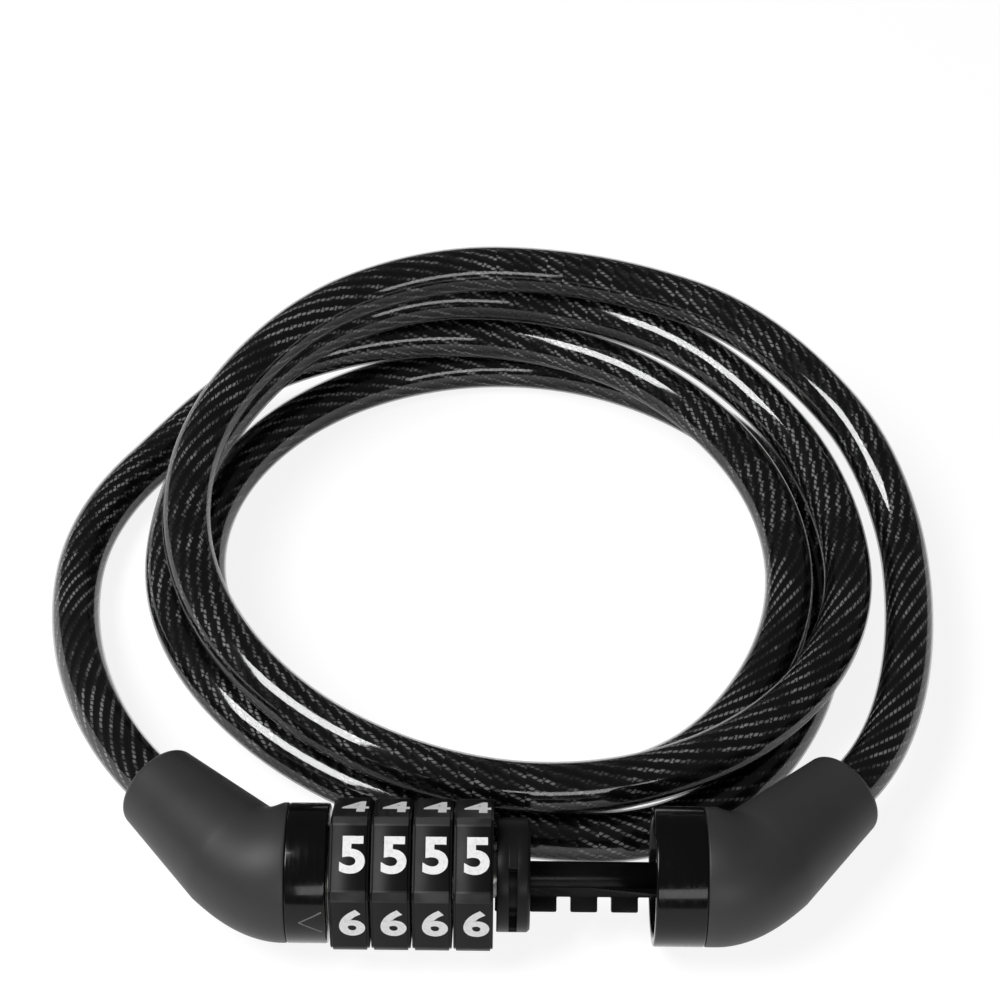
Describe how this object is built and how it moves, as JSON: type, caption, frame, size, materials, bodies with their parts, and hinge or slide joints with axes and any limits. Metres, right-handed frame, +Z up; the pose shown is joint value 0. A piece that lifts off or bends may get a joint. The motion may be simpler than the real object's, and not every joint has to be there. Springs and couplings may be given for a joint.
{
  "type": "cable lock",
  "caption": "Coiled cable lock with a combination head of hexagonal number dials and a notched pin that plugs into it.",
  "frame": {"origin": "under the middle of the lock head, cable left out, on the surface it lies on", "axes": "+X along the lock's axis from the dials to the plug, +Y to the back where the cable lies, +Z up"},
  "size_m": [0.1858, 0.1718, 0.043],
  "materials": {
    "soft_touch": "matte soft-touch coating",
    "gloss_black": "polished black",
    "dial_black": "satin black with white digits",
    "satin_black": "satin black",
    "black_metal": "black coated steel",
    "core_steel": "plain steel",
    "brass": "turned brass",
    "spring_steel": "spring steel",
    "jacket": "glossy smoky translucent vinyl over dark rope",
    "rope": "laid steel strands"
  },
  "bodies": {
    "lock_body": {"left_elbow": "soft_touch", "rear_collar": "gloss_black", "lock_core": "core_steel", "tail_pins": "spring_steel", "thrust_washer": "spring_steel", "detent_strip": "spring_steel", "nose_sleeve": "satin_black", "retaining_clip": "spring_steel", "left_ferrule": "core_steel", "left_lead": "jacket", "right_lead": "jacket", "cable_jacket": "jacket", "steel_rope": "rope"},
    "dial_1": {"number_dial_1": "dial_black", "code_wheel_1": "brass"},
    "dial_2": {"number_dial_2": "dial_black", "code_wheel_2": "brass"},
    "dial_3": {"number_dial_3": "dial_black", "code_wheel_3": "brass"},
    "dial_4": {"number_dial_4": "dial_black", "code_wheel_4": "brass"},
    "plug": {"lock_pin": "black_metal", "cup_ring": "gloss_black", "plug_bush": "black_metal", "pin_rivet": "spring_steel", "right_elbow": "soft_touch", "right_ferrule": "core_steel"}
  },
  "joints": [
    {"name": "dial_1_turn", "type": "hinge", "parent": "lock_body", "child": "dial_1", "pos_m": [0, -0.0065, 0.01421], "axis": [1, 0, 0], "continuous": true},
    {"name": "dial_2_turn", "type": "hinge", "parent": "lock_body", "child": "dial_2", "pos_m": [0, -0.0065, 0.01421], "axis": [1, 0, 0], "continuous": true},
    {"name": "dial_3_turn", "type": "hinge", "parent": "lock_body", "child": "dial_3", "pos_m": [0, -0.0065, 0.01421], "axis": [1, 0, 0], "continuous": true},
    {"name": "dial_4_turn", "type": "hinge", "parent": "lock_body", "child": "dial_4", "pos_m": [0, -0.0065, 0.01421], "axis": [1, 0, 0], "continuous": true},
    {"name": "plug_slide", "type": "slide", "parent": "lock_body", "child": "plug", "axis": [1, 0, 0], "range_m": [-0.0291, 0.015], "deforming": ["left_lead", "right_lead", "cable_jacket", "steel_rope"]}
  ]
}
